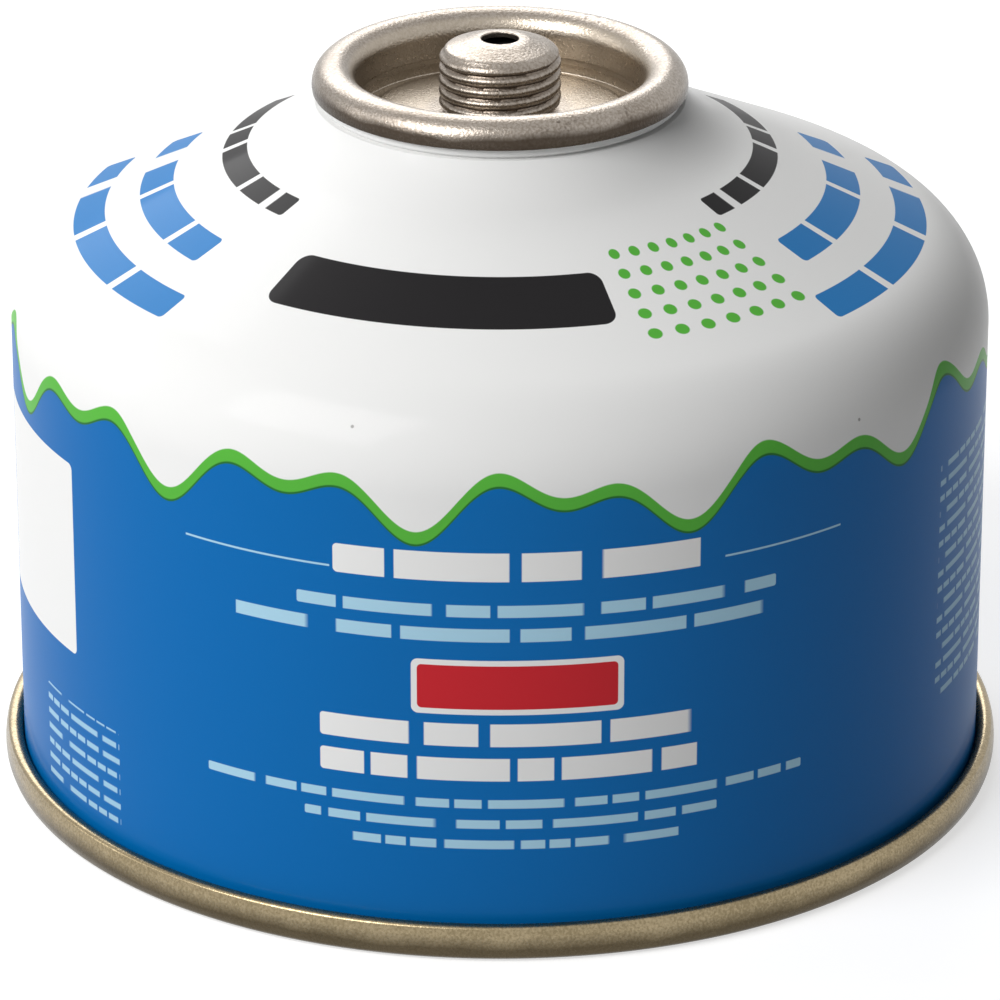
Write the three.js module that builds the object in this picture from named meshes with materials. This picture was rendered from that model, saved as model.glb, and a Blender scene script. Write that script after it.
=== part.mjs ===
// Threaded 100 g gas canister: drawn steel can, double-seamed base and crimped screw valve.
// Millimetres, +Z up, origin at the centre of the rim that it stands on.
import * as THREE from "three";

// Can body
const WALL_RADIUS = 43.3; // outside of the drawn wall
const BODY_SHEET = 0.4;
const WALL_TOP = 42.1; // where the wall turns into the shoulder
const SHOULDER_RADIUS = 9.4;
const CROWN_SLOPE = THREE.MathUtils.degToRad(24.3);
const NECK_SLOPE = THREE.MathUtils.degToRad(47);
const NECK_RADIUS = 18.8; // where the crown turns up into the neck
const NECK_FILLET = 15;
const NECK_LEDGE = 0.25; // how far the neck stands out past the mouth bead
const BEAD_SKIRT = 0.81; // straight side of the mouth bead, below its round top
const BEAD_GROOVE = 0.3; // depth of the groove under the bead
const BEAD_GROOVE_WIDTH = 0.15;
const BEAD_BEND = 0.25; // rounding of the bead's lower edge

// Double seam and base
const END_SHEET = 0.5;
const SEAM_GAP = 0.1; // sealing compound between two folds
const SEAM_HEIGHT = 3.3;
const SEAM_FOOT_BEND = 0.95; // rim's lower outer edge, on the middle of the sheet
const CHUCK_BEND = 0.6; // rim's lower inner edge
const CHUCK_HEIGHT = 4.5; // straight wall inside the rim
const BASE_RISE = 5.8; // how far the base is domed in above that wall
const BASE_BEND = 1.8;

// Valve cup, crimped on the mouth bead
const CUP_SHEET = 0.4;
const CUP_BORE = 12.6; // inside of the cup's wall
const CURL_RADIUS = 16.5; // outside of the curl over the bead
const SKIRT_DROP = 0.4; // curl's middle to its lower lip
const LIP_TURN = 0.05; // how far the lip turns in
const BEAD_GAP = 0.09; // between the curl, the gasket and the bead
const CUP_GASKET_THICKNESS = 0.35;
const CUP_GASKET_REACH = THREE.MathUtils.degToRad(55); // to each side of the bead's top
const PANEL_DROP = 2.65; // curl's middle to the cup's flat floor
const PANEL_RADIUS = 11.1;
const CHANNEL_DEPTH = 0.7; // groove round the floor
const CHANNEL_SLOPE_RUN = 0.5;
const CLINCH_BULGE = 0.4; // how far the crimp spreads the cup's wall below the bead
const CLINCH_HEIGHT = 0.9; // crimp's top edge above the floor
const CLINCH_RUN = 0.6;
const CUP_BEND = 0.35;

// Threaded boss in the middle of the cup
const BOSS_RADIUS = 5.35; // thread crest, 7/16 in nominal
const BOSS_HEIGHT = 6.7; // above the cup's floor
const BOSS_LAND = 2.3; // edge of the flat land round the hole
const BOSS_SLOPE = THREE.MathUtils.degToRad(18); // fall of the roof outside the land
const BOSS_SHOULDER = 1.3;
const BOSS_ROOF = 0.5;
const BOSS_WALL = 1.0; // crest to bore
const VALVE_HOLE_RADIUS = 1.635;
const HOLE_EDGE = 0.12;
const CRIMP_RADIUS = 4.5; // outside of the neck that grips the housing
const CRIMP_WALL = 0.55;
const CRIMP_HEIGHT = 0.5; // neck's top above the floor
const CRIMP_FOOT_BEND = 0.4;
const THREAD_RUNOUT = 0.4; // height of the slope from the neck to the thread

// Valve inside the boss
const VALVE_FIT = 0.1; // between pieces that press on each other
const STEM_GASKET_THICKNESS = 0.8;
const STEM_GASKET_HOLE = 1.15;
const HOUSING_LENGTH = 12.4;
const HOUSING_WALL = 0.6;
const HOUSING_FLOOR = 1.0;
const SPIGOT_RADIUS = 2.3;
const SPIGOT_LENGTH = 2.0;
const INLET_RADIUS = 0.9;
const PLUNGER_CLEARANCE = 0.25; // round the plunger's head
const PLUNGER_HEAD = 1.2;
const PLUNGER_STEM_RADIUS = 1.4;
const PLUNGER_STEM_LENGTH = 5.5;
const PLUNGER_NUB_RADIUS = 0.85;
const PLUNGER_NUB_HEIGHT = 0.5;
const SPRING_WIRE = 0.5;
const SPRING_TURNS = 7;
const SPRING_END_TURNS = 1; // closed turns at each end
const SPRING_END_PITCH = 0.55; // rise of a closed turn
const SPRING_CLEARANCE = 0.25; // round the coil
const CUP_POCKET_GAP = 0.4; // round the cup inside the can
const HOUSING_POCKET_GAP = 0.9; // round the housing inside the can

// Facets
const ROUND = 40;
const SMALL_ROUND = 20;
const WIRE_SIDES = 6;
const STEPS_PER_TURN = 12;

const point = (r, z) => new THREE.Vector2(r, z);

// Points of an arc about (r, z), both ends included.
function arc(r, z, radius, start, end, steps) {
  return Array.from({ length: steps + 1 }, (_, i) => {
    const angle = start + ((end - start) * i) / steps;
    return point(r + radius * Math.cos(angle), z + radius * Math.sin(angle));
  });
}

// An outline through corners [r, z, bend radius, steps], with an arc at each corner that has a bend.
function bent(corners) {
  return corners.flatMap(([r, z, radius = 0, steps = 2], i) => {
    const corner = point(r, z);
    if (radius === 0) return [corner];
    const back = point(corners[i - 1][0], corners[i - 1][1]).sub(corner).normalize();
    const on = point(corners[i + 1][0], corners[i + 1][1]).sub(corner).normalize();
    const half = Math.acos(back.dot(on)) / 2;
    const middle = back.clone().add(on).normalize();
    const centre = corner.clone().addScaledVector(middle, radius / Math.sin(half));
    const reach = radius / Math.tan(half);
    const from = corner.clone().addScaledVector(back, reach).sub(centre).angle();
    const to = corner.clone().addScaledVector(on, reach).sub(centre).angle();
    const sweep = THREE.MathUtils.euclideanModulo(to - from + Math.PI, 2 * Math.PI) - Math.PI;
    return arc(centre.x, centre.y, radius, from, from + sweep, steps);
  });
}

// A path moved sideways by a distance, positive to its left, with mitred corners.
function beside(path, distance) {
  return path.map((here, i) => {
    const back = path[Math.max(i - 1, 0)];
    const on = path[Math.min(i + 1, path.length - 1)];
    const into = i === 0 ? on.clone().sub(here) : here.clone().sub(back);
    const out = i === path.length - 1 ? into.clone() : on.clone().sub(here);
    const along = into.normalize().add(out.normalize()).normalize();
    const reach = distance / along.dot(out);
    return point(here.x - along.y * reach, here.y + along.x * reach);
  });
}

function named(name, geometry, look) {
  const mesh = new THREE.Mesh(geometry, new THREE.MeshStandardMaterial(look));
  mesh.name = name;
  return mesh;
}

// A piece turned about the Z axis. Its outline has the material on its left.
function turned(name, outline, look, segments = ROUND) {
  const solid = outline[0].x === 0 && outline.at(-1).x === 0;
  const profile = solid ? outline : [...outline, outline[0].clone()];
  return named(name, new THREE.LatheGeometry(profile, segments).rotateX(Math.PI / 2), look);
}

// Radii of the seam's five layers, on the middle of each sheet, from the chuck wall out to the rim.
const bodyWall = WALL_RADIUS - BODY_SHEET / 2;
const chuckWall = bodyWall - BODY_SHEET / 2 - SEAM_GAP - END_SHEET / 2;
const coverHook = WALL_RADIUS + SEAM_GAP + END_SHEET / 2;
const bodyHook = coverHook + END_SHEET / 2 + SEAM_GAP + BODY_SHEET / 2;
const rimWall = bodyHook + BODY_SHEET / 2 + SEAM_GAP + END_SHEET / 2;

// Bends and heights inside the seam.
const coverBend = (rimWall - coverHook) / 2;
const coverBendHeight = SEAM_HEIGHT - END_SHEET / 2 - coverBend;
const bodyBend = (bodyHook - bodyWall) / 2;
const bodyBendHeight = END_SHEET + SEAM_GAP + BODY_SHEET / 2 + bodyBend;
const bodyHookTop = coverBendHeight - SEAM_GAP / 2;
const coverHookTip = bodyBendHeight - SEAM_GAP / 2;

// Shoulder, crown and neck: the crown's cone runs from the shoulder up to the neck.
const shoulderCorner = WALL_TOP + SHOULDER_RADIUS * Math.tan(Math.PI / 4 - CROWN_SLOPE / 2);
const neckFoot = shoulderCorner + (WALL_RADIUS - NECK_RADIUS) * Math.tan(CROWN_SLOPE);

// Curl of the cup and the bead that it grips, both about the same radius.
const curlMiddle = (CURL_RADIUS + CUP_BORE) / 2;
const curlBend = (CURL_RADIUS - CUP_BORE - CUP_SHEET) / 2;
const beadBend = curlBend - CUP_SHEET / 2 - BEAD_GAP;
const neckEdge = curlMiddle + beadBend + NECK_LEDGE;
const neckTop = neckFoot + (NECK_RADIUS - neckEdge) * Math.tan(NECK_SLOPE);
const beadFoot = neckTop + BEAD_GROOVE_WIDTH;
const beadMiddle = beadFoot + BEAD_SKIRT;
const beadTop = beadMiddle + beadBend;
const curlTop = beadTop + CUP_GASKET_THICKNESS + 2 * BEAD_GAP + CUP_SHEET;
const curlHeight = curlTop - CUP_SHEET / 2 - curlBend;

// Floor of the cup and the boss on it.
const panelTop = curlHeight - PANEL_DROP;
const panelMiddle = panelTop - CUP_SHEET / 2;
const channelMiddle = panelMiddle - CHANNEL_DEPTH;
const clinchTop = panelTop + CLINCH_HEIGHT;
const clinchRadius = CUP_BORE + CUP_SHEET / 2 + CLINCH_BULGE;
const bossFoot = CRIMP_RADIUS + 2 * CRIMP_FOOT_BEND;
const bossTop = panelTop + BOSS_HEIGHT;
const bossBore = BOSS_RADIUS - BOSS_WALL;
const roofFall = Math.tan(BOSS_SLOPE);
const shoulderEdge = bossTop - (BOSS_RADIUS - BOSS_LAND) * roofFall;
const roofUnderside = bossTop - BOSS_ROOF;
const roofCorner = roofUnderside - (bossBore - BOSS_LAND) * roofFall;
const crimpBore = CRIMP_RADIUS - CRIMP_WALL;
const crimpTop = panelTop + CRIMP_HEIGHT;

// The valve's pieces, from the gasket under the roof down.
const stemGasketTop = roofCorner - VALVE_FIT;
const stemGasketBottom = stemGasketTop - STEM_GASKET_THICKNESS;
const housingTop = stemGasketBottom - VALVE_FIT;
const housingBottom = housingTop - HOUSING_LENGTH;
const housingRadius = bossBore - VALVE_FIT;
const housingBore = housingRadius - HOUSING_WALL;
const housingTail = crimpBore - VALVE_FIT;
const housingLedge = crimpTop + VALVE_FIT;
const springSeat = housingBottom + HOUSING_FLOOR;
const headBottom = housingTop - PLUNGER_HEAD;

// Middle of the base's sheet, from the axis out to the straight wall inside the rim.
function basePath() {
  const edge = chuckWall - BASE_BEND;
  const sphere = (edge ** 2 + BASE_RISE ** 2) / (2 * BASE_RISE);
  const middle = CHUCK_HEIGHT + BASE_RISE - sphere;
  const tilt = Math.asin(edge / sphere);
  const dome = arc(0, middle, sphere, Math.PI / 2, Math.PI / 2 - tilt, 5);
  const corner = [chuckWall, CHUCK_HEIGHT - BASE_BEND * Math.tan(tilt), BASE_BEND];
  const bend = bent([[edge, CHUCK_HEIGHT], corner, [chuckWall, 0]]);
  return [...dome.slice(0, -1), ...bend.slice(1, -1)];
}

// The base: one sheet, domed in, down inside the wall, out under the seam and over it as a hook.
function baseEnd() {
  const foot = bent([
    [chuckWall, SEAM_HEIGHT],
    [chuckWall, END_SHEET / 2, CHUCK_BEND],
    [rimWall, END_SHEET / 2, SEAM_FOOT_BEND],
    [rimWall, SEAM_HEIGHT],
  ]).slice(1, -1);
  const over = arc(coverHook + coverBend, coverBendHeight, coverBend, 0, Math.PI, 5);
  const path = [...basePath(), ...foot, ...over, point(coverHook, coverHookTip)];
  path[0].x = 0;
  const under = beside(path, -END_SHEET / 2);
  const inner = beside(path, END_SHEET / 2);
  under[0].x = 0;
  inner[0].x = 0;
  const look = { color: 0xb3a584, roughness: 0.35, metalness: 0.9 };
  return turned("base_end", [...under, ...inner.reverse()], look);
}

// The can with its sealed contents: hooked foot, wall, shoulder, crown, mouth bead and valve pocket.
function canBody() {
  const above = beside(basePath(), END_SHEET / 2 + SEAM_GAP);
  above[0].x = 0;
  const foot = arc(bodyWall + bodyBend, bodyBendHeight, bodyBend, Math.PI, 2 * Math.PI, 4);
  const hook = [...foot, point(bodyHook, bodyHookTop)];
  const shell = bent([
    [WALL_RADIUS, bodyBendHeight],
    [WALL_RADIUS, shoulderCorner, SHOULDER_RADIUS, 7],
    [NECK_RADIUS, neckFoot, NECK_FILLET, 4],
    [neckEdge, neckTop],
    [neckEdge - NECK_LEDGE - BEAD_GROOVE, neckTop],
    [neckEdge - NECK_LEDGE - BEAD_GROOVE, beadFoot],
    [neckEdge - NECK_LEDGE, beadFoot, BEAD_BEND, 2],
    [neckEdge - NECK_LEDGE, beadMiddle],
  ]).slice(1, -1);
  const bead = arc(curlMiddle, beadMiddle, beadBend, 0, Math.PI, 6);
  const cupPocket = clinchRadius + CUP_SHEET / 2 + CUP_POCKET_GAP;
  const cupFloor = channelMiddle - CUP_SHEET / 2 - CUP_POCKET_GAP;
  const housingPocket = housingRadius + HOUSING_POCKET_GAP;
  const housingFloor = housingBottom - SPIGOT_LENGTH - CUP_POCKET_GAP;
  const pocket = [
    point(curlMiddle - beadBend, clinchTop + CUP_POCKET_GAP),
    point(cupPocket, clinchTop),
    point(cupPocket, cupFloor),
    point(housingPocket, cupFloor),
    point(housingPocket, housingFloor),
    point(0, housingFloor),
  ];
  const outside = beside(hook, -BODY_SHEET / 2);
  const inside = beside(hook, BODY_SHEET / 2).reverse();
  const look = { color: 0x0068b0, roughness: 0.25, metalness: 0.1 };
  return turned("can_body", [...above, ...outside, ...inside, ...shell, ...bead, ...pocket], look);
}

// The cup: one drawn sheet, curled over the bead, clinched below it, with the boss in its middle.
function valveCup() {
  const skirt = CURL_RADIUS - CUP_SHEET / 2;
  const cupWall = CUP_BORE + CUP_SHEET / 2;
  const wall = bent([
    [cupWall, curlHeight],
    [cupWall, clinchTop],
    [clinchRadius, clinchTop - CLINCH_RUN],
    [clinchRadius, channelMiddle, CUP_BEND],
    [PANEL_RADIUS + CHANNEL_SLOPE_RUN, channelMiddle, CUP_BEND, 1],
    [PANEL_RADIUS, panelMiddle, CUP_BEND, 1],
    [bossFoot, panelMiddle],
  ]).slice(1);
  const curl = arc(curlMiddle, curlHeight, curlBend, 0, Math.PI, 7);
  const path = [point(skirt - LIP_TURN, curlHeight - SKIRT_DROP), ...curl, ...wall];
  const boss = bent([
    [bossFoot, panelTop],
    [CRIMP_RADIUS, panelTop, CRIMP_FOOT_BEND],
    [CRIMP_RADIUS, crimpTop],
    [BOSS_RADIUS, crimpTop + THREAD_RUNOUT],
    [BOSS_RADIUS, shoulderEdge, BOSS_SHOULDER, 3],
    [BOSS_LAND, bossTop],
    [VALVE_HOLE_RADIUS, bossTop, HOLE_EDGE, 1],
    [VALVE_HOLE_RADIUS, roofUnderside],
    [BOSS_LAND, roofUnderside],
    [bossBore, roofCorner],
    [bossBore, crimpTop],
    [crimpBore, crimpTop - (bossBore - crimpBore)],
    [crimpBore, panelTop - CUP_SHEET, CRIMP_FOOT_BEND],
    [bossFoot, panelTop - CUP_SHEET],
  ]).slice(1, -1);
  const shown = beside(path, -CUP_SHEET / 2);
  const hidden = beside(path, CUP_SHEET / 2).reverse();
  const look = { color: 0xa39a90, roughness: 0.3, metalness: 0.95 };
  return turned("valve_cup", [...shown, ...boss, ...hidden], look);
}

// Rubber ring squeezed between the curl and the bead.
function cupGasket() {
  const start = Math.PI / 2 - CUP_GASKET_REACH;
  const end = Math.PI / 2 + CUP_GASKET_REACH;
  const under = arc(curlMiddle, beadMiddle, beadBend + BEAD_GAP, end, start, 4);
  const over = arc(curlMiddle, curlHeight, curlBend - CUP_SHEET / 2 - BEAD_GAP, start, end, 4);
  return turned("cup_gasket", [...under, ...over], { color: 0x18181a, roughness: 0.8, metalness: 0 });
}

// Rubber washer under the boss's roof, which seals on the plunger.
function stemGasket() {
  const outline = [
    point(STEM_GASKET_HOLE, stemGasketBottom),
    point(bossBore - VALVE_FIT, stemGasketBottom),
    point(bossBore - VALVE_FIT, stemGasketTop),
    point(STEM_GASKET_HOLE, stemGasketTop),
  ];
  const look = { color: 0x101012, roughness: 0.7, metalness: 0 };
  return turned("stem_gasket", outline, look, SMALL_ROUND);
}

// Moulded housing, held by the crimp in the boss's neck and open to the gas through its spigot.
function valveHousing() {
  const outline = [
    point(INLET_RADIUS, housingBottom - SPIGOT_LENGTH),
    point(SPIGOT_RADIUS, housingBottom - SPIGOT_LENGTH),
    point(SPIGOT_RADIUS, housingBottom),
    point(housingTail, housingBottom),
    point(housingTail, housingLedge - (housingRadius - housingTail)),
    point(housingRadius, housingLedge),
    point(housingRadius, housingTop),
    point(housingBore, housingTop),
    point(housingBore, springSeat),
    point(INLET_RADIUS, springSeat),
  ];
  const look = { color: 0xe6e4dc, roughness: 0.5, metalness: 0 };
  return turned("valve_housing", outline, look, SMALL_ROUND);
}

// Plunger that the stove's pin pushes down through the hole.
function valvePlunger() {
  const head = housingBore - PLUNGER_CLEARANCE;
  const outline = [
    point(0, headBottom - PLUNGER_STEM_LENGTH),
    point(PLUNGER_STEM_RADIUS, headBottom - PLUNGER_STEM_LENGTH),
    point(PLUNGER_STEM_RADIUS, headBottom),
    point(head, headBottom),
    point(head, housingTop),
    point(PLUNGER_NUB_RADIUS, housingTop),
    point(PLUNGER_NUB_RADIUS, housingTop + PLUNGER_NUB_HEIGHT),
    point(0, housingTop + PLUNGER_NUB_HEIGHT),
  ];
  const look = { color: 0x1c1c1e, roughness: 0.45, metalness: 0 };
  return turned("valve_plunger", outline, look, SMALL_ROUND);
}

// A coil about the Z axis that lies closed in its end turns and climbs evenly between them.
class Coil extends THREE.Curve {
  constructor(radius, bottom, top) {
    super();
    Object.assign(this, { radius, bottom, top });
  }

  getPoint(t, target = new THREE.Vector3()) {
    const turn = SPRING_TURNS * t;
    const left = SPRING_TURNS - turn;
    const closed = SPRING_END_TURNS * SPRING_END_PITCH;
    const open = (turn - SPRING_END_TURNS) / (SPRING_TURNS - 2 * SPRING_END_TURNS);
    let height = this.bottom + closed + open * (this.top - this.bottom - 2 * closed);
    if (turn < SPRING_END_TURNS) height = this.bottom + turn * SPRING_END_PITCH;
    if (left < SPRING_END_TURNS) height = this.top - left * SPRING_END_PITCH;
    const angle = 2 * Math.PI * turn;
    return target.set(this.radius * Math.cos(angle), this.radius * Math.sin(angle), height);
  }
}

// Coil spring between the housing's floor and the plunger's head.
function returnSpring() {
  const radius = housingBore - SPRING_CLEARANCE - SPRING_WIRE / 2;
  const inset = VALVE_FIT + SPRING_WIRE / 2;
  const coil = new Coil(radius, springSeat + inset, headBottom - inset);
  const section = new THREE.Shape();
  section.absarc(0, 0, SPRING_WIRE / 2, 0, 2 * Math.PI);
  const geometry = new THREE.ExtrudeGeometry(section, {
    steps: SPRING_TURNS * STEPS_PER_TURN,
    curveSegments: WIRE_SIDES / 2,
    extrudePath: coil,
  });
  return named("return_spring", geometry, { color: 0x9a9a9a, roughness: 0.3, metalness: 1 });
}

const canister = new THREE.Group();
canister.add(baseEnd(), canBody(), valveCup(), cupGasket());
canister.add(stemGasket(), valveHousing(), valvePlunger(), returnSpring());

export default canister;
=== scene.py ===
import math

import bpy
import numpy as np
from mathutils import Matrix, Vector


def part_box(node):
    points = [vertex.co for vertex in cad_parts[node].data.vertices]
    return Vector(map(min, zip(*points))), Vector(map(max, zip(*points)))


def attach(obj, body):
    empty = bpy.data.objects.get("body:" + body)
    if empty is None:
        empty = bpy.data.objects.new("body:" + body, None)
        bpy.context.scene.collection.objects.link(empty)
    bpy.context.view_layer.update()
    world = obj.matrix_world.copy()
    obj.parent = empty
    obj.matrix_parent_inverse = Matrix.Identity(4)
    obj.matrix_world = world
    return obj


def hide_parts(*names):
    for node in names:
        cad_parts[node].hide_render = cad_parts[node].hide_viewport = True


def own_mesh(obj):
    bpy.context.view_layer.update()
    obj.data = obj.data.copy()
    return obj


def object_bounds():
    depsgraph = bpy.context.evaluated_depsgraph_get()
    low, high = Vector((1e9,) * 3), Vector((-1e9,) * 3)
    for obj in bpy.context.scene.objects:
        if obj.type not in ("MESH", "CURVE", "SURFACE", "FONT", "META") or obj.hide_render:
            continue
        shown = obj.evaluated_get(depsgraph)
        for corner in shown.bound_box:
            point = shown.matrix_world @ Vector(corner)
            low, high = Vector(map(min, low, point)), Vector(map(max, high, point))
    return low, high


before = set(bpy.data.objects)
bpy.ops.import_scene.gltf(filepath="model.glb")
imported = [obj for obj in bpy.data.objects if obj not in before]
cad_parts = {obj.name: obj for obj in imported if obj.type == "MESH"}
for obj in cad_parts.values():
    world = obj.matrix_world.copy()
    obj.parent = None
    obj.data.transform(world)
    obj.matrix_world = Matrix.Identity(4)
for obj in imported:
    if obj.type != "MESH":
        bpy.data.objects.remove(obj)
cad_box = [list(corner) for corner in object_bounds()]

MM = 0.001
top = cad_box[1][2]

# Camera: a long lens at the photograph's angle, a little above the shoulder.
CAMERA_PLACE = (0.0, -0.52174, 0.24794)
CAMERA_DOWN = 23.275
LENS = 227.2
SENSOR = 36.0
camera_data = bpy.data.cameras.new("camera")
camera_data.lens = LENS
camera_data.sensor_width = SENSOR
camera = bpy.data.objects.new("camera", camera_data)
camera.location = CAMERA_PLACE
camera.rotation_euler = (math.radians(90 - CAMERA_DOWN), 0, 0)
bpy.context.collection.objects.link(camera)
bpy.context.scene.camera = camera
bpy.context.scene.view_settings.view_transform = "Standard"


def lamp(name, spot, aim, width, height, watts):
    """A soft rectangular lamp at a spot, turned towards the point that it aims at."""
    data = bpy.data.lights.new(name, "AREA")
    data.shape = "RECTANGLE"
    data.size = width
    data.size_y = height
    data.energy = watts
    light = bpy.data.objects.new(name, data)
    light.location = spot
    away = np.array(spot) - np.array(aim)
    light.rotation_euler = (
        math.atan2(math.hypot(away[0], away[1]), away[2]),
        0,
        math.atan2(away[1], away[0]) + math.pi / 2,
    )
    bpy.context.collection.objects.link(light)


# Lights: a large soft key from the left and front, a weaker one behind and a strip at the left.
middle = (0, 0, top / 2)
lamp("key", (-0.5, -0.43, 0.61), middle, 0.55, 0.5, 6.7)
lamp("back", (-0.12, 0.55, 0.46), middle, 0.5, 0.5, 2.8)
lamp("side", (-0.6, 0.08, 0.22), middle, 0.14, 0.3, 0.35)

# Surroundings: white where they are seen or mirrored, and weak as a light.
world = bpy.data.worlds.new("studio")
world.use_nodes = True
bpy.context.scene.world = world
tree = world.node_tree
background = tree.nodes["Background"]
background.inputs["Color"].default_value = (1, 1, 1, 1)
AMBIENT = 0.1


def seen(tree, least, most):
    """A value that is most for rays that see or mirror a surface and least for those that light."""
    path = tree.nodes.new("ShaderNodeLightPath")
    value = path.outputs["Is Camera Ray"]
    for kind in ("Is Glossy Ray", "Is Transmission Ray"):
        either = tree.nodes.new("ShaderNodeMath")
        either.operation = "MAXIMUM"
        tree.links.new(value, either.inputs[0])
        tree.links.new(path.outputs[kind], either.inputs[1])
        value = either.outputs[0]
    scaled = tree.nodes.new("ShaderNodeMapRange")
    scaled.inputs["To Min"].default_value = least
    scaled.inputs["To Max"].default_value = most
    tree.links.new(value, scaled.inputs["Value"])
    return scaled.outputs["Result"]


tree.links.new(seen(tree, AMBIENT, 1.0), background.inputs["Strength"])

# Floor: a plain pale table, mostly as white as the surroundings, that keeps the object's shadow.
FLOOR_SIZE = 6
FLOOR_GREY = (0.6, 0.6, 0.6, 1)
FLOOR_GLOW = 0.62
bpy.ops.mesh.primitive_plane_add(size=FLOOR_SIZE, location=(0, 0, 0))
floor = bpy.context.object
floor.name = "floor"
floor_paint = bpy.data.materials.new("floor_paint")
floor_paint.use_nodes = True
floor_shader = floor_paint.node_tree.nodes["Principled BSDF"]
floor_shader.inputs["Base Color"].default_value = FLOOR_GREY
floor_shader.inputs["Roughness"].default_value = 0.9
floor_shader.inputs["Specular IOR Level"].default_value = 0.1
floor_shader.inputs["Emission Color"].default_value = (1, 1, 1, 1)
tree = floor_paint.node_tree
tree.links.new(seen(tree, 0.0, FLOOR_GLOW), floor_shader.inputs["Emission Strength"])
floor.data.materials.append(floor_paint)


# Can body
# One drawn steel shell, printed and varnished, with the gas sealed inside it.
# The wall ends below in the seam's inner hook and above in the bead that the valve cup grips.

# Sizes in mm. WALL, NECK, BEAD_MIDDLE, POCKET and WELL are radii from the can's axis.
WALL = 43.3
BODY_SHEET = 0.4
END_SHEET = 0.5
SEAM_GAP = 0.1
SEAM_HEIGHT = 3.3
SHOULDER = 9.4
CROWN_SLOPE = math.radians(24.3)
NECK_SLOPE = math.radians(47)
NECK = 18.8
NECK_FILLET = 15.0
BEAD = 1.46
BEAD_MIDDLE = 14.55
BEAD_SKIRT = 0.81
LEDGE = 0.25
GROOVE = 0.3
GROOVE_WIDTH = 0.15
GROOVE_BEND = 0.25
MOUTH_FOOT = 62.0
POCKET = 13.8
POCKET_TOP = 61.6
POCKET_FLOOR = 59.2
WELL = 5.15
WELL_FLOOR = 50.44
ON_AXIS = 1e-6
SHARP_EDGE = math.radians(40)


def arc(r, z, radius, start, end, steps):
    """Points about (r, z): the centre plus radius times cosine and sine of degrees start to end."""
    angles = np.radians(np.linspace(start, end, steps + 1))
    return np.column_stack([r + radius * np.cos(angles), z + radius * np.sin(angles)])


def bent(corners, steps=10):
    """An outline through (r, z, bend) corners. At a bend, the arc's centre lies on the corner's
    bisector, at bend over the sine of half the corner's angle."""
    points = []
    for i, (r, z, bend) in enumerate(corners):
        corner = np.array([r, z])
        if bend == 0:
            points.append(corner[None])
            continue
        back = np.array(corners[i - 1][:2]) - corner
        on = np.array(corners[i + 1][:2]) - corner
        back, on = back / np.linalg.norm(back), on / np.linalg.norm(on)
        half = np.arccos(back @ on) / 2
        centre = corner + (back + on) / np.linalg.norm(back + on) * bend / np.sin(half)
        ends = [corner + side * bend / np.tan(half) - centre for side in (back, on)]
        start, end = (np.degrees(np.arctan2(end[1], end[0])) for end in ends)
        sweep = (end - start + 180) % 360 - 180
        points.append(arc(*centre, bend, start, start + sweep, steps))
    return np.vstack(points)


def beside(line, distance):
    """The line moved to its left: each point shifts along the normal of its two sides' mean
    direction, by distance over the cosine of half the turn there."""
    sides = np.diff(line, axis=0)
    sides /= np.linalg.norm(sides, axis=1)[:, None]
    along = np.vstack([sides[:1], sides]) + np.vstack([sides, sides[-1:]])
    along /= np.linalg.norm(along, axis=1)[:, None]
    reach = distance / (along * np.vstack([sides, sides[-1:]])).sum(axis=1)
    return line + np.column_stack([-along[:, 1], along[:, 0]]) * reach[:, None]


def spaced(outline, step):
    """The outline with points added along its sides, so that none lie more than step apart."""
    lengths = np.linalg.norm(np.diff(outline, axis=0), axis=1)
    counts = np.maximum(np.ceil(lengths / step).astype(int), 1)
    shares = [np.arange(count)[:, None] / count for count in counts]
    sides = zip(outline[:-1], outline[1:], shares)
    return np.vstack([a + (b - a) * share for a, b, share in sides] + [outline[-1:]])


def solid(name, grid, poles=(), body="can", slot="", stands_for=""):
    """A closed smooth piece from a grid of points in mm, whose rows run up its outer side and whose
    columns run once round. Its rows close on themselves, or on two poles if these are given."""
    rows, columns = grid.shape[:2]
    index = np.arange(rows * columns).reshape(rows, columns)
    if len(poles):
        low, high = index[:-1], index[1:]
    else:
        low, high = index, np.roll(index, -1, axis=0)
    corners = [low, np.roll(low, -1, axis=1), np.roll(high, -1, axis=1), high]
    faces = np.stack(corners, axis=-1).reshape(-1, 4).tolist()
    points = grid.reshape(-1, 3)
    for pole, row, first in zip(poles, (index[0][::-1], index[-1]), (len(points), len(points) + 1)):
        faces += np.column_stack([row, np.roll(row, -1), np.full(columns, first)]).tolist()
        points = np.vstack([points, pole])
    mesh = bpy.data.meshes.new(name)
    mesh.from_pydata((points * MM).tolist(), [], faces)
    mesh.shade_smooth()
    mesh.set_sharp_from_angle(angle=SHARP_EDGE)
    piece = bpy.data.objects.new(name, mesh)
    bpy.context.collection.objects.link(piece)
    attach(piece, body)
    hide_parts(stands_for)
    return piece


def turned(name, outline, around, shape=None, **facts):
    """The outline (r, z in mm) turned about Z: x is r times the angle's cosine, y is r times its
    sine. shape, if given, changes r and z by angle. Outline ends on the axis become poles."""
    poles = []
    if outline[0, 0] < ON_AXIS:
        poles = [[0, 0, outline[0, 1]], [0, 0, outline[-1, 1]]]
        outline = outline[1:-1]
    elif np.allclose(outline[0], outline[-1]):
        outline = outline[:-1]
    angle = np.linspace(0, 2 * np.pi, around, endpoint=False)[None]
    r = np.repeat(outline[:, :1], around, axis=1)
    z = np.repeat(outline[:, 1:], around, axis=1)
    if shape:
        r, z = shape(r, z, angle)
    return solid(name, np.stack([r * np.cos(angle), r * np.sin(angle), z], axis=-1), poles, **facts)


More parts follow.
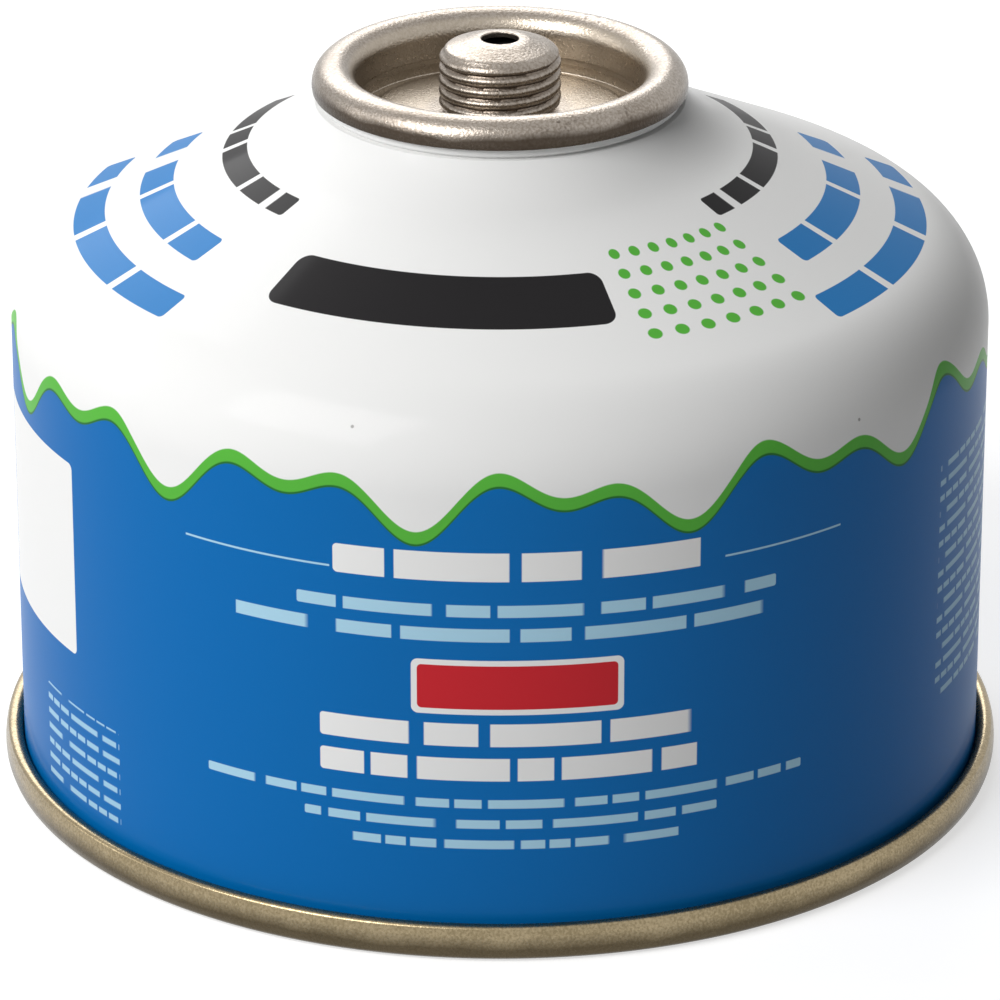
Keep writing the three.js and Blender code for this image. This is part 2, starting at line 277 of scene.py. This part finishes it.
bead_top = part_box("can_body")[1][2] / MM
bead_foot = bead_top - BEAD - BEAD_SKIRT
neck_edge = BEAD_MIDDLE + BEAD + LEDGE
neck_top = bead_foot - GROOVE_WIDTH
neck_foot = neck_top - (NECK - neck_edge) * math.tan(NECK_SLOPE)
shoulder_corner = neck_foot - (WALL - NECK) * math.tan(CROWN_SLOPE)

body_wall = WALL - BODY_SHEET / 2
chuck_wall = body_wall - BODY_SHEET / 2 - SEAM_GAP - END_SHEET / 2
cover_hook = WALL + SEAM_GAP + END_SHEET / 2
body_hook = cover_hook + END_SHEET / 2 + SEAM_GAP + BODY_SHEET / 2
rim_wall = body_hook + BODY_SHEET / 2 + SEAM_GAP + END_SHEET / 2
cover_bend = (rim_wall - cover_hook) / 2
body_bend = (body_hook - body_wall) / 2
cover_height = SEAM_HEIGHT - END_SHEET / 2 - cover_bend
body_height = END_SHEET + SEAM_GAP + BODY_SHEET / 2 + body_bend

# The base's sheet as far as the wall inside the rim: a shallow dome and a bend down.
CHUCK_HEIGHT = 4.5
BASE_RISE = 5.8
BASE_BEND = 1.8
edge = chuck_wall - BASE_BEND
sphere = (edge**2 + BASE_RISE**2) / (2 * BASE_RISE)
tilt = math.degrees(math.asin(edge / sphere))
dome = arc(0, CHUCK_HEIGHT + BASE_RISE - sphere, sphere, 90, 90 - tilt, steps=24)
turn_in = (chuck_wall, CHUCK_HEIGHT - BASE_BEND * math.tan(math.radians(tilt)), BASE_BEND)
base_bend = bent([(edge, CHUCK_HEIGHT, 0), turn_in, (chuck_wall, 0, 0)])
base_path = np.vstack([dome[:-1], base_bend[1:-1]])

foot = arc(body_wall + body_bend, body_height, body_bend, 180, 360, steps=12)
hook = np.vstack([foot, [body_hook, cover_height - SEAM_GAP / 2]])
shell = bent(
    [
        (WALL, body_height, 0),
        (WALL, shoulder_corner, SHOULDER),
        (NECK, neck_foot, NECK_FILLET),
        (neck_edge, neck_top, 0),
        (neck_edge - LEDGE - GROOVE, neck_top, 0),
        (neck_edge - LEDGE - GROOVE, bead_foot, 0),
        (neck_edge - LEDGE, bead_foot, GROOVE_BEND),
        (neck_edge - LEDGE, bead_top - BEAD, 0),
    ],
    steps=24,
)[1:-1]
bead = arc(BEAD_MIDDLE, bead_top - BEAD, BEAD, 0, 180, steps=16)
pocket = [
    (BEAD_MIDDLE - BEAD, MOUTH_FOOT),
    (POCKET, POCKET_TOP),
    (POCKET, POCKET_FLOOR),
    (WELL, POCKET_FLOOR),
    (WELL, WELL_FLOOR),
    (0, WELL_FLOOR),
]
underside = beside(base_path, END_SHEET / 2 + SEAM_GAP)
underside[0, 0] = 0
outside = beside(hook, -BODY_SHEET / 2)
inside = beside(hook, BODY_SHEET / 2)[::-1]
outline = spaced(np.vstack([underside, outside, inside, shell, bead, pocket]), step=1.5)
can = turned("can", outline, around=360, slot="printed_can", stands_for="can_body")


# Printed varnish
# Blue ground below a soft wave with a green edge, white enamel above it, plain bars, blocks and dots.
# The print is flat colour under one coat of clear varnish, with a few specks of dust.
class Field:
    """A number that varies over a surface, written as plain arithmetic on shader sockets."""

    def __init__(self, tree, socket):
        self.tree = tree
        self.socket = socket

    def apply(self, operation, *others):
        made = self.tree.nodes.new("ShaderNodeMath")
        made.operation = operation
        for slot, value in zip(made.inputs, (self, *others)):
            feed(self.tree, slot, value)
        return Field(self.tree, made.outputs[0])

    def __add__(self, other):
        return self.apply("ADD", other)

    def __sub__(self, other):
        return self.apply("SUBTRACT", other)

    def __mul__(self, other):
        return self.apply("MULTIPLY", other)

    def clamped(self):
        return self.apply("MAXIMUM", 0.0).apply("MINIMUM", 1.0)


def feed(tree, slot, value):
    """Gives a shader input a field, a socket or a fixed value."""
    if isinstance(value, Field):
        value = value.socket
    if isinstance(value, bpy.types.NodeSocket):
        tree.links.new(value, slot)
    else:
        slot.default_value = value


def node(tree, kind, **inputs):
    """A new shader node with its inputs filled; a name's underscores stand for spaces."""
    made = tree.nodes.new(kind)
    for name, value in inputs.items():
        feed(tree, made.inputs[name.replace("_", " ")], value)
    return made


def blend(tree, share, under, over):
    """The colour under, with the colour over on it where share is 1."""
    made = tree.nodes.new("ShaderNodeMix")
    made.data_type = "RGBA"
    feed(tree, made.inputs["Factor"], share)
    for slot, colour in ((made.inputs["A"], under), (made.inputs["B"], over)):
        feed(tree, slot, colour if isinstance(colour, bpy.types.NodeSocket) else (*colour, 1))
    return made.outputs["Result"]


def material(name, **inputs):
    """A new material, its node tree and its main shader with the given inputs set."""
    made = bpy.data.materials.new(name)
    made.use_nodes = True
    shader = made.node_tree.nodes["Principled BSDF"]
    for key, value in inputs.items():
        feed(made.node_tree, shader.inputs[key.replace("_", " ")], value)
    return made, made.node_tree, shader


def place(tree):
    """Where a surface point lies, in mm and radians: its angle from the front, radius and height."""
    objects = node(tree, "ShaderNodeTexCoord").outputs["Object"]
    split = node(tree, "ShaderNodeSeparateXYZ", Vector=objects).outputs
    x, y, z = (Field(tree, split[axis]) * (1 / MM) for axis in "XYZ")
    return x.apply("ARCTAN2", y * -1), (x * x + y * y).apply("SQRT"), z


INK_EDGE = 0.05


def short_of(value, reach, sharpness):
    """1 well short of a reach and 0 past it: the reach less the value, times the sharpness."""
    return ((value * -1 + reach) * sharpness).clamped()


def beyond(value, start, sharpness):
    """0 up to a start and 1 well beyond it: the value less the start, times the sharpness."""
    return ((value - start) * sharpness).clamped()


def bar(along, across, half_length, half_width, bend):
    """1 inside a rectangle with round corners: the distance to its core, less the bend, is under 0."""
    past_end = (along.apply("ABSOLUTE") - (half_length - bend)).apply("MAXIMUM", 0.0)
    past_side = (across.apply("ABSOLUTE") - (half_width - bend)).apply("MAXIMUM", 0.0)
    distance = (past_end * past_end + past_side * past_side).apply("SQRT") - bend
    return short_of(distance, INK_EDGE / 2, 1 / INK_EDGE)


BLUE = (0.0, 0.145, 0.455)
WHITE = (0.88, 0.88, 0.87)
GREEN = (0.10, 0.47, 0.05)
DARK_GREEN = (0.02, 0.16, 0.03)
BLACK = (0.012, 0.011, 0.012)
SKY = (0.02, 0.20, 0.52)
PALE = (0.42, 0.68, 0.84)
RED = (0.60, 0.02, 0.03)

varnish, tree, shader = material("print", Roughness=0.4, Coat_Weight=0.13, Coat_Roughness=0.1)
shader.inputs["Specular IOR Level"].default_value = 0.03
angle, radius, height = place(tree)
along = angle * WALL

# The border between blue and white, as (waves round the can, shift in radians, height in mm) of each
# of the two waves that it adds up. Its green band has a dark green line along its lower edge.
WAVES = [(12, 0.6, 1.7), (23, 2.1, 1.5)]
BORDER_HEIGHT = 41.6
BAND = 0.6
SHADE = 0.2
BAND_SHARPNESS = 10
SHARPNESS = 12
above = height - BORDER_HEIGHT
for count, shift, rise in WAVES:
    above = above - (angle * count + shift).apply("SINE") * rise
colour = blend(tree, short_of(above, 0.5 / SHARPNESS, SHARPNESS), WHITE, BLUE)
lower_edge = (above + BAND).apply("ABSOLUTE")
colour = blend(tree, short_of(lower_edge, SHADE, SHARPNESS), colour, DARK_GREEN)
colour = blend(tree, short_of(above.apply("ABSOLUTE"), BAND, BAND_SHARPNESS), colour, GREEN)

# Wall marks, as (along, height, half length, half width, bend, length of a word or 0, colour).
WALL_MARKS = [
    (1.8, 36.0, 16.0, 1.3, 0.4, 9.0, WHITE),
    (-21.5, 35.2, 7.0, 0.09, 0.05, 0, PALE),
    (25.5, 35.2, 6.0, 0.09, 0.05, 0, PALE),
    (3.5, 32.0, 21.0, 0.55, 0.2, 6.5, PALE),
    (-0.1, 29.8, 23.6, 0.6, 0.2, 8.0, PALE),
    (1.5, 25.0, 9.0, 2.5, 0.6, 0, WHITE),
    (1.5, 25.0, 8.5, 2.0, 0.4, 0, RED),
    (1.5, 20.6, 17.0, 1.05, 0.3, 8.5, WHITE),
    (0.95, 17.4, 16.45, 1.05, 0.3, 6.0, WHITE),
    (0.5, 14.2, 27.0, 0.4, 0.15, 4.5, PALE),
    (1.0, 12.3, 18.0, 0.4, 0.15, 5.5, PALE),
    (1.3, 10.4, 14.4, 0.4, 0.15, 3.6, PALE),
    (-53.5, 27.6, 9.5, 9.0, 0.6, 0, WHITE),
]
SWAY_RATE = 0.47
SWAY = 1.5
GAP_SHARE = 0.07
GAP_SHARPNESS = 8


def words(along, shift, word):
    """0 in the gaps between words and 1 elsewhere. The gaps lie word apart on a scale that a sine of
    the place, moved on by shift, stretches and squeezes."""
    uneven = along + (along * SWAY_RATE + shift).apply("SINE") * SWAY
    return beyond(uneven.apply("PINGPONG", word / 2), word * GAP_SHARE, GAP_SHARPNESS)


for centre, level, half_length, half_width, bend, word, ink in WALL_MARKS:
    mark = bar(along - centre, height - level, half_length, half_width, bend)
    if word:
        mark = mark * words(along, level, word)
    colour = blend(tree, mark, colour, ink)

# Fine lines at the left and right, as (along, height, half length, half height) of each block.
FINE_BLOCKS = [(-44, 9.0, 6.5, 4.6), (56, 24.5, 9.5, 11.5)]
BLOCK_BEND = 0.3
LINE_SPACING = 1.44
LINE_GAP = 0.4
LINE_SHARPNESS = 9
LINE_WORD = 2.6
LINE_SHIFT = 2.1
LINE_STRENGTH = 0.85
for centre, level, half_length, half_height in FINE_BLOCKS:
    block = bar(along - centre, height - level, half_length, half_height, BLOCK_BEND)
    lines = beyond(height.apply("PINGPONG", LINE_SPACING / 2), LINE_GAP, LINE_SHARPNESS)
    row = (height * (1 / LINE_SPACING)).apply("FLOOR")
    dashes = words(along, row * LINE_SHIFT, LINE_WORD)
    colour = blend(tree, block * lines * dashes * LINE_STRENGTH, colour, PALE)

# Crown marks, the same on both sides, as (degrees, radius, half length, half width, length of a
# word, colour).
CROWN_MARKS = [
    (88, 23.3, 15.3, 1.1, 7.0, BLACK),
    (84, 30.2, 15.0, 1.5, 9.0, SKY),
    (80, 36.2, 19.0, 1.4, 11.0, SKY),
]
CROWN_FOOT = 48.0
MARK_BEND = 0.3
on_crown = beyond(height, CROWN_FOOT, sharpness=1)
sides = angle.apply("ABSOLUTE")
for degrees, ring, half_length, half_width, word, ink in CROWN_MARKS:
    round_ring = (sides - math.radians(degrees)) * ring
    mark = bar(round_ring, radius - ring, half_length, half_width, half_width * MARK_BEND)
    colour = blend(tree, mark * words(round_ring, ring, word) * on_crown, colour, ink)

# A black bar at the front of the crown, and a block of green dots in rows beside it. Each has its
# place, as an angle from the front, and its size, as half length, half width and bend.
FRONT_RING = 29.8
BAR_PLACE = math.radians(-10)
BAR_SIZE = (14.5, 2.8, 1.2)
BLOCK_PLACE = math.radians(35)
BLOCK_SIZE = (7.5, 5.3, 0.1)
DOT = 0.6
DOT_SPACING = 2.2
across = radius - FRONT_RING
mark = bar((angle - BAR_PLACE) * FRONT_RING, across, *BAR_SIZE)
colour = blend(tree, mark * on_crown, colour, BLACK)
round_ring = (angle - BLOCK_PLACE) * FRONT_RING
step_along = round_ring.apply("PINGPONG", DOT_SPACING / 2)
step_across = across.apply("PINGPONG", DOT_SPACING / 2)
from_dot = (step_along * step_along + step_across * step_across).apply("SQRT")
mark = short_of(from_dot, DOT, SHARPNESS) * bar(round_ring, across, *BLOCK_SIZE)
colour = blend(tree, mark * on_crown, colour, GREEN)

# A few specks of dust on the enamel: small rounds in the rare cells whose random red is near 1.
DUST = (0.10, 0.09, 0.08)
DUST_CELLS = 330.0
DUST_SIZE = 0.06
DUST_SHARPNESS = 40
RARE = 0.95
RARE_SHARPNESS = 60
DUST_STRENGTH = 0.6
objects = node(tree, "ShaderNodeTexCoord").outputs["Object"]
cells = node(tree, "ShaderNodeTexVoronoi", Vector=objects, Scale=DUST_CELLS)
split = node(tree, "ShaderNodeSeparateColor", Color=cells.outputs["Color"])
rare = beyond(Field(tree, split.outputs["Red"]), RARE, RARE_SHARPNESS)
near = short_of(Field(tree, cells.outputs["Distance"]), DUST_SIZE, DUST_SHARPNESS)
colour = blend(tree, near * rare * DUST_STRENGTH, colour, DUST)
feed(tree, shader.inputs["Base Color"], colour)
can.data.materials.append(varnish)


# Base end
# Tinplate with a pale gold lacquer, domed inwards and folded over the shell's foot by the seaming rolls.
# Its outer fold is the rim that the canister stands on.
RIM_BOW = 0.3
CHUCK_BEND = 0.6
FOOT_BEND = 0.95
seam_foot = bent(
    [
        (chuck_wall, SEAM_HEIGHT, 0),
        (chuck_wall, END_SHEET / 2, CHUCK_BEND),
        (rim_wall, END_SHEET / 2, FOOT_BEND),
        (rim_wall, SEAM_HEIGHT, 0),
    ]
)[1:-1]
fold = arc(cover_hook + cover_bend, cover_height, cover_bend, 0, 180, steps=20)
tip = [(cover_hook, body_height - SEAM_GAP / 2)]
path = np.vstack([base_path, spaced(np.vstack([seam_foot, fold, tip]), step=0.4)])
under, inner = beside(path, -END_SHEET / 2), beside(path, END_SHEET / 2)
under[0, 0] = inner[0, 0] = 0
outline = spaced(np.vstack([under, inner[::-1]]), step=2.5)


def bowed(r, z, angle):
    """Rounds the rim's outside, which the rolls leave slightly convex: r falls by the bow times the
    square of the share of half the seam's height, more the nearer a point lies to the outside."""
    share = (z - SEAM_HEIGHT / 2) / (SEAM_HEIGHT / 2)
    outward = np.clip((r - rim_wall) / (END_SHEET / 2), 0, 1)
    return r - RIM_BOW * share**2 * outward, z


base = turned("base", outline, around=360, shape=bowed, slot="gold_tinplate", stands_for="base_end")

FINE_GRAIN = 4400.0
BROAD_GRAIN = 160.0
FINE_SHARE = 0.75
DARK_FROM = 0.4
DARK_SHARPNESS = 5
MIDDLE_TONE = 0.48
GLOSS_SPREAD = 0.25
GRAIN_DEPTH = 0.05 * MM


def noise(tree, scale, detail):
    """Cloudy noise round a half, on the piece's own coordinates."""
    objects = node(tree, "ShaderNodeTexCoord").outputs["Object"]
    made = node(tree, "ShaderNodeTexNoise", Vector=objects, Scale=scale, Detail=detail)
    return Field(tree, made.outputs[0])


def sheet_metal(name, light, dark, roughness, grain):
    """Rolled tinplate: two tones mixed by fine noise, with a slight grain in gloss and relief."""
    made, tree, shader = material(name, Metallic=1.0)
    fine, broad = noise(tree, FINE_GRAIN, detail=4.0), noise(tree, BROAD_GRAIN, detail=4.0)
    mixed = fine * FINE_SHARE + broad * (1 - FINE_SHARE)
    share = beyond(mixed, DARK_FROM, DARK_SHARPNESS)
    feed(tree, shader.inputs["Base Color"], blend(tree, share, light, dark))
    feed(tree, shader.inputs["Roughness"], (mixed - MIDDLE_TONE) * GLOSS_SPREAD + roughness)
    relief = node(tree, "ShaderNodeBump", Height=fine, Strength=grain, Distance=GRAIN_DEPTH)
    feed(tree, shader.inputs["Normal"], relief.outputs[0])
    return made


def patchy(height, top, fade, patches, unevenness):
    """1 well below a top and 0 above it: the depth below the top times the fade, plus noise round 0
    times the unevenness, which moves the edge up and down."""
    return ((height - top) * -fade + (patches - 0.5) * unevenness).clamped()


def coat(tree, share, over):
    """Lays a colour over the one that the material's main shader has so far, where share is 1."""
    shader = tree.nodes["Principled BSDF"]
    so_far = shader.inputs["Base Color"].links[0].from_socket
    feed(tree, shader.inputs["Base Color"], blend(tree, share, so_far, over))


gold = sheet_metal(
    "gold_lacquer", light=(0.36, 0.29, 0.18), dark=(0.24, 0.19, 0.11), roughness=0.27, grain=0.25
)
base.data.materials.append(gold)

# Painted shade, with some dirt, on the lower part of the rim, heavier in patches.
DIRT_AND_SHADE = (0.06, 0.046, 0.027)
DIRT_AND_SHADE_TOP = 2.5
DIRT_AND_SHADE_FADE = 0.8
DIRT_AND_SHADE_PATCHES = 220.0
DIRT_AND_SHADE_UNEVENNESS = 0.9
DIRT_AND_SHADE_STRENGTH = 0.85
tree = gold.node_tree
patches = noise(tree, DIRT_AND_SHADE_PATCHES, detail=3.0)
dirt_and_shade = patchy(place(tree)[2], DIRT_AND_SHADE_TOP, DIRT_AND_SHADE_FADE, patches, DIRT_AND_SHADE_UNEVENNESS)
coat(tree, dirt_and_shade * DIRT_AND_SHADE_STRENGTH, DIRT_AND_SHADE)


# Valve cup
# One drawn tinplate sheet, curled over the can's bead, clinched below it and drawn up into the boss.
# The thread is rolled on the boss, right-handed; its hole lets the stove's pin in.

# Sizes in mm. The radii from the axis are CURL, CUP_BORE, PANEL_EDGE, PANEL_HOLE, CHANNEL_EDGE, BOSS,
# BOSS_NECK, NECK_BORE, BORE, LAND and HOLE.
CURL = 16.5
CURL_DROP = 4.05
LIP = 0.4
LIP_TUCK = 0.05
CUP_BORE = 12.6
CUP_SHEET = 0.4
CLINCH = 0.4
CLINCH_TOP = 0.9
CLINCH_TOP_BEND = 0.3
CLINCH_FOOT = 0.3
CLINCH_FOOT_BEND = 0.25
PANEL_DROP = 2.65
PANEL_EDGE = 11.1
PANEL_HOLE = 5.3
CHANNEL_EDGE = 11.6
CHANNEL_DEPTH = 0.7
CHANNEL_BEND = 0.35
BOSS = 5.35
BOSS_NECK = 4.5
NECK_BORE = 3.95
NECK_HEIGHT = 0.5
NECK_FLARE = 0.4
NECK_BEND = 0.4
BORE = 4.35
LAND = 2.3
LAND_BEND = 3.2
ROOF_SHEET = 0.5
ROOF_SLOPE = math.radians(18)
ROOF_EDGE_BEND = 1.3
HOLE = 1.635
HOLE_BEND = 0.12
boss_top = top / MM
curl_bend = (CURL - CUP_BORE - CUP_SHEET) / 2
curl_height = boss_top - CURL_DROP
panel_top = curl_height - PANEL_DROP
panel_foot = panel_top - CUP_SHEET
panel = panel_top - CUP_SHEET / 2
channel = panel - CHANNEL_DEPTH
roof_fall = math.tan(ROOF_SLOPE)
roof = boss_top - ROOF_SHEET
roof_corner = roof - (BORE - LAND) * roof_fall
neck_end = panel_top + NECK_HEIGHT
curl = arc(BEAD_MIDDLE, curl_height, curl_bend, 0, 180, steps=28)
cup_wall = CUP_BORE + CUP_SHEET / 2
floor_line = bent(
    [
        (cup_wall, curl_height, 0),
        (cup_wall, panel_top + CLINCH_TOP, CLINCH_TOP_BEND),
        (cup_wall + CLINCH, panel_top + CLINCH_FOOT, CLINCH_FOOT_BEND),
        (cup_wall + CLINCH, channel, CHANNEL_BEND),
        (CHANNEL_EDGE, channel, CHANNEL_BEND),
        (PANEL_EDGE, panel, CHANNEL_BEND),
        (PANEL_HOLE, panel, 0),
    ],
    steps=6,
)[1:]
lip = (CURL - CUP_SHEET / 2 - LIP_TUCK, curl_height - LIP)
cup_path = np.vstack([lip, curl, floor_line])
boss = bent(
    [
        (PANEL_HOLE, panel_top, 0),
        (BOSS_NECK, panel_top, NECK_BEND),
        (BOSS_NECK, neck_end, 0),
        (BOSS, neck_end + NECK_FLARE, 0),
        (BOSS, boss_top - (BOSS - LAND) * roof_fall, ROOF_EDGE_BEND),
        (LAND, boss_top, LAND_BEND),
        (HOLE, boss_top, HOLE_BEND),
        (HOLE, roof, 0),
        (LAND, roof, 0),
        (BORE, roof_corner, 0),
        (BORE, neck_end, 0),
        (NECK_BORE, neck_end - NECK_FLARE, 0),
        (NECK_BORE, panel_foot, NECK_BEND),
        (PANEL_HOLE, panel_foot, 0),
    ],
    steps=6,
)[1:-1]
shown, hidden = beside(cup_path, -CUP_SHEET / 2), beside(cup_path, CUP_SHEET / 2)[::-1]
outline = np.vstack([spaced(shown, step=0.6), spaced(boss, step=0.1), spaced(hidden, step=1.0)])

PITCH = 1.04
THREAD_DEPTH = 0.34
FIRST_CREST = 1.62
THREAD_FOOT = 0.3
THREAD_RISE = 0.4
THREAD_TOP = 0.75
THREAD_RUNOUT = 0.9


def threaded(r, z, angle):
    """Cuts the rolled thread: r falls by the depth times the square of a raised cosine of the turns
    below the first crest, which climb with the angle, and fades at both ends."""
    turns = (z - boss_top + FIRST_CREST) / PITCH - (angle - np.pi) / (2 * np.pi)
    groove = (0.5 - 0.5 * np.cos(2 * np.pi * turns)) ** 2
    start = np.clip((z - neck_end - THREAD_FOOT) / THREAD_RISE, 0, 1)
    end = np.clip((boss_top - THREAD_TOP - z) / THREAD_RUNOUT, 0, 1)
    outside = (r > (BORE + BOSS_NECK) / 2) & (r < (BOSS + CUP_BORE) / 2)
    return r - THREAD_DEPTH * groove * start * end * outside, z


cup = turned("cup", outline, around=256, shape=threaded, slot="tinplate", stands_for="valve_cup")
tin = sheet_metal(
    "tinplate_satin", light=(0.36, 0.32, 0.28), dark=(0.235, 0.2, 0.165), roughness=0.29, grain=0.8
)

# Inside the cup the sheet is painted lighter and yellower, a painted warm reflection. Dark nicks lie in
# patches on the curl, where stoves and caps rub, and a painted dark reflection lies low on its outside.
# The thread's grooves are coloured darker brown.
PAINTED_WARM_REFLECTION = (0.48, 0.415, 0.33)
NICK = (0.05, 0.035, 0.025)
PAINTED_DARK_REFLECTION = (0.045, 0.032, 0.022)
THREAD_DARK = (0.09, 0.062, 0.042)
CURL_INSIDE = 13.4
FLOOR_FROM = 6.0
PAINTED_WARM_REFLECTION_STRENGTH = 0.5
NICK_GRAIN = 2600.0
WEAR_PATCHES = 120.0
NICK_LEVEL = 4.9 / 9
NICK_SHARPNESS = 9
NICK_STRENGTH = 0.6
DARK_REFLECTION_OVER_CURL = 1.0
DARK_REFLECTION_FADE = 1.5
DARK_REFLECTION_UNEVENNESS = 2.5
DARK_REFLECTION_STRENGTH = 0.9
THREAD_DARK_FROM = 0.9
THREAD_DARK_REACH = 5.5
THREAD_DARK_STRENGTH = 0.7
tree = tin.node_tree
nicks, patches = noise(tree, NICK_GRAIN, detail=3.0), noise(tree, WEAR_PATCHES, detail=2.0)
angle, radius, height = place(tree)
# Painted warm reflection: the inside of the cup is painted lighter and yellower.
in_cup = short_of(radius, CURL_INSIDE, sharpness=3) * beyond(radius, FLOOR_FROM, sharpness=1)
coat(tree, in_cup * PAINTED_WARM_REFLECTION_STRENGTH, PAINTED_WARM_REFLECTION)
on_curl = beyond(radius, CURL_INSIDE, sharpness=4)
worn = beyond(nicks, NICK_LEVEL, NICK_SHARPNESS) * beyond(patches, NICK_LEVEL, NICK_SHARPNESS)
coat(tree, worn * on_curl * NICK_STRENGTH, NICK)
# Painted dark reflection: the curl's outside is painted darker low down, more in patches.
low = patchy(height, curl_height + DARK_REFLECTION_OVER_CURL, DARK_REFLECTION_FADE, patches, DARK_REFLECTION_UNEVENNESS)
coat(tree, low * on_curl * DARK_REFLECTION_STRENGTH, PAINTED_DARK_REFLECTION)
# The thread's grooves are coloured darker brown.
under_roof = short_of(height, boss_top - THREAD_DARK_FROM, sharpness=1)
on_boss = short_of(radius, THREAD_DARK_REACH, sharpness=3) * under_roof
in_thread = short_of(radius, BOSS, 1 / THREAD_DEPTH)
coat(tree, in_thread * on_boss * THREAD_DARK_STRENGTH, THREAD_DARK)
cup.data.materials.append(tin)


# Gaskets
# Black rubber: one ring squeezed between the curl and the bead, one washer under the boss's roof.
GASKET_GAP = 0.09
GASKET_SPREAD = 55
SEAT_GAP = 0.1
WASHER = 4.25
WASHER_HOLE = 1.15
WASHER_SHEET = 0.8
rubber, _, _ = material("rubber", Base_Color=(0.012, 0.012, 0.013, 1), Roughness=0.75)
left, right = 90 + GASKET_SPREAD, 90 - GASKET_SPREAD
under = arc(BEAD_MIDDLE, bead_top - BEAD, BEAD + GASKET_GAP, left, right, steps=12)
curl_hollow = curl_bend - CUP_SHEET / 2 - GASKET_GAP
upper = arc(BEAD_MIDDLE, curl_height, curl_hollow, right, left, steps=12)
outline = np.vstack([under, upper])
ring = turned("ring", outline, around=128, slot="black_rubber", stands_for="cup_gasket")
ring.data.materials.append(rubber)
stem_top = roof_corner - SEAT_GAP
stem_foot = stem_top - WASHER_SHEET
corners = [(WASHER_HOLE, stem_foot), (WASHER, stem_foot), (WASHER, stem_top), (WASHER_HOLE, stem_top)]
washer = turned("washer", np.array(corners), around=64, slot="black_rubber", stands_for="stem_gasket")
washer.data.materials.append(rubber)


# Valve housing and plunger
# The housing is a white moulding that the boss's neck grips; the plunger is black and slides in it.
# Both are turned shapes with small moulded edges.
CHAMBER = 11.4
HEAD = 1.2

# The housing's outline, as (radius, height below the seat), and the plunger's, as (radius, height
# over the seat, bend), in mm.
HOUSING_OUTLINE = [
    (0.9, 14.4),
    (2.3, 14.4),
    (2.3, 12.4),
    (3.85, 12.4),
    (3.85, 4.33),
    (4.25, 3.93),
    (4.25, 0),
    (3.65, 0),
    (3.65, CHAMBER),
    (0.9, CHAMBER),
]
PLUNGER_OUTLINE = [
    (0, -6.7, 0),
    (1.4, -6.7, 0.2),
    (1.4, -HEAD, 0),
    (3.4, -HEAD, 0.1),
    (3.4, 0, 0.15),
    (0.85, 0, 0),
    (0.85, 0.5, 0.2),
    (0, 0.5, 0),
]
seat = stem_foot - SEAT_GAP
outline = np.array([(r, seat - depth) for r, depth in HOUSING_OUTLINE])
housing = turned("housing", outline, around=64, slot="white_plastic", stands_for="valve_housing")
white_plastic, _, _ = material("white_plastic", Base_Color=(0.75, 0.74, 0.7, 1), Roughness=0.45)
housing.data.materials.append(white_plastic)
outline = bent([(r, seat + rise, bend) for r, rise, bend in PLUNGER_OUTLINE], steps=4)
plunger = turned(
    "pin", outline, around=64, body="plunger", slot="black_plastic", stands_for="valve_plunger"
)
black_plastic, _, _ = material("black_plastic", Base_Color=(0.015, 0.015, 0.017, 1), Roughness=0.4)
plunger.data.materials.append(black_plastic)


# Return spring
# Drawn steel wire, wound with a closed turn at each end, between the housing's floor and the plunger.
# In the real valve it shortens as the plunger goes down; here it is drawn at rest.
WIRE = 0.25
COIL = 3.15
TURNS = 7
CLOSED_PITCH = 0.55
TURN_STEPS = 36
WIRE_SIDES = 12
chamber_floor = seat - CHAMBER
low, high = chamber_floor + SEAT_GAP + WIRE, seat - HEAD - SEAT_GAP - WIRE
turn = np.linspace(0, TURNS, TURNS * TURN_STEPS + 1)
rise = np.interp(turn, [0, 1, TURNS - 1, TURNS], [low, low + CLOSED_PITCH, high - CLOSED_PITCH, high])
side = 2 * np.pi * turn[:, None]
across = np.linspace(0, 2 * np.pi, WIRE_SIDES, endpoint=False)[None]
reach = COIL + WIRE * np.cos(across)
lift = rise[:, None] + WIRE * np.sin(across)
grid = np.stack([reach * np.cos(side), reach * np.sin(side), lift], axis=-1)[::-1]
ends = [[COIL * np.cos(t), COIL * np.sin(t), z] for t, z in ((side[-1, 0], high), (0.0, low))]
spring = solid("spring", grid, ends, slot="spring_steel", stands_for="return_spring")
chamber_floor * MM
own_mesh(spring)
steel, _, _ = material("spring_wire", Base_Color=(0.55, 0.55, 0.55, 1), Metallic=1.0, Roughness=0.3)
spring.data.materials.append(steel)
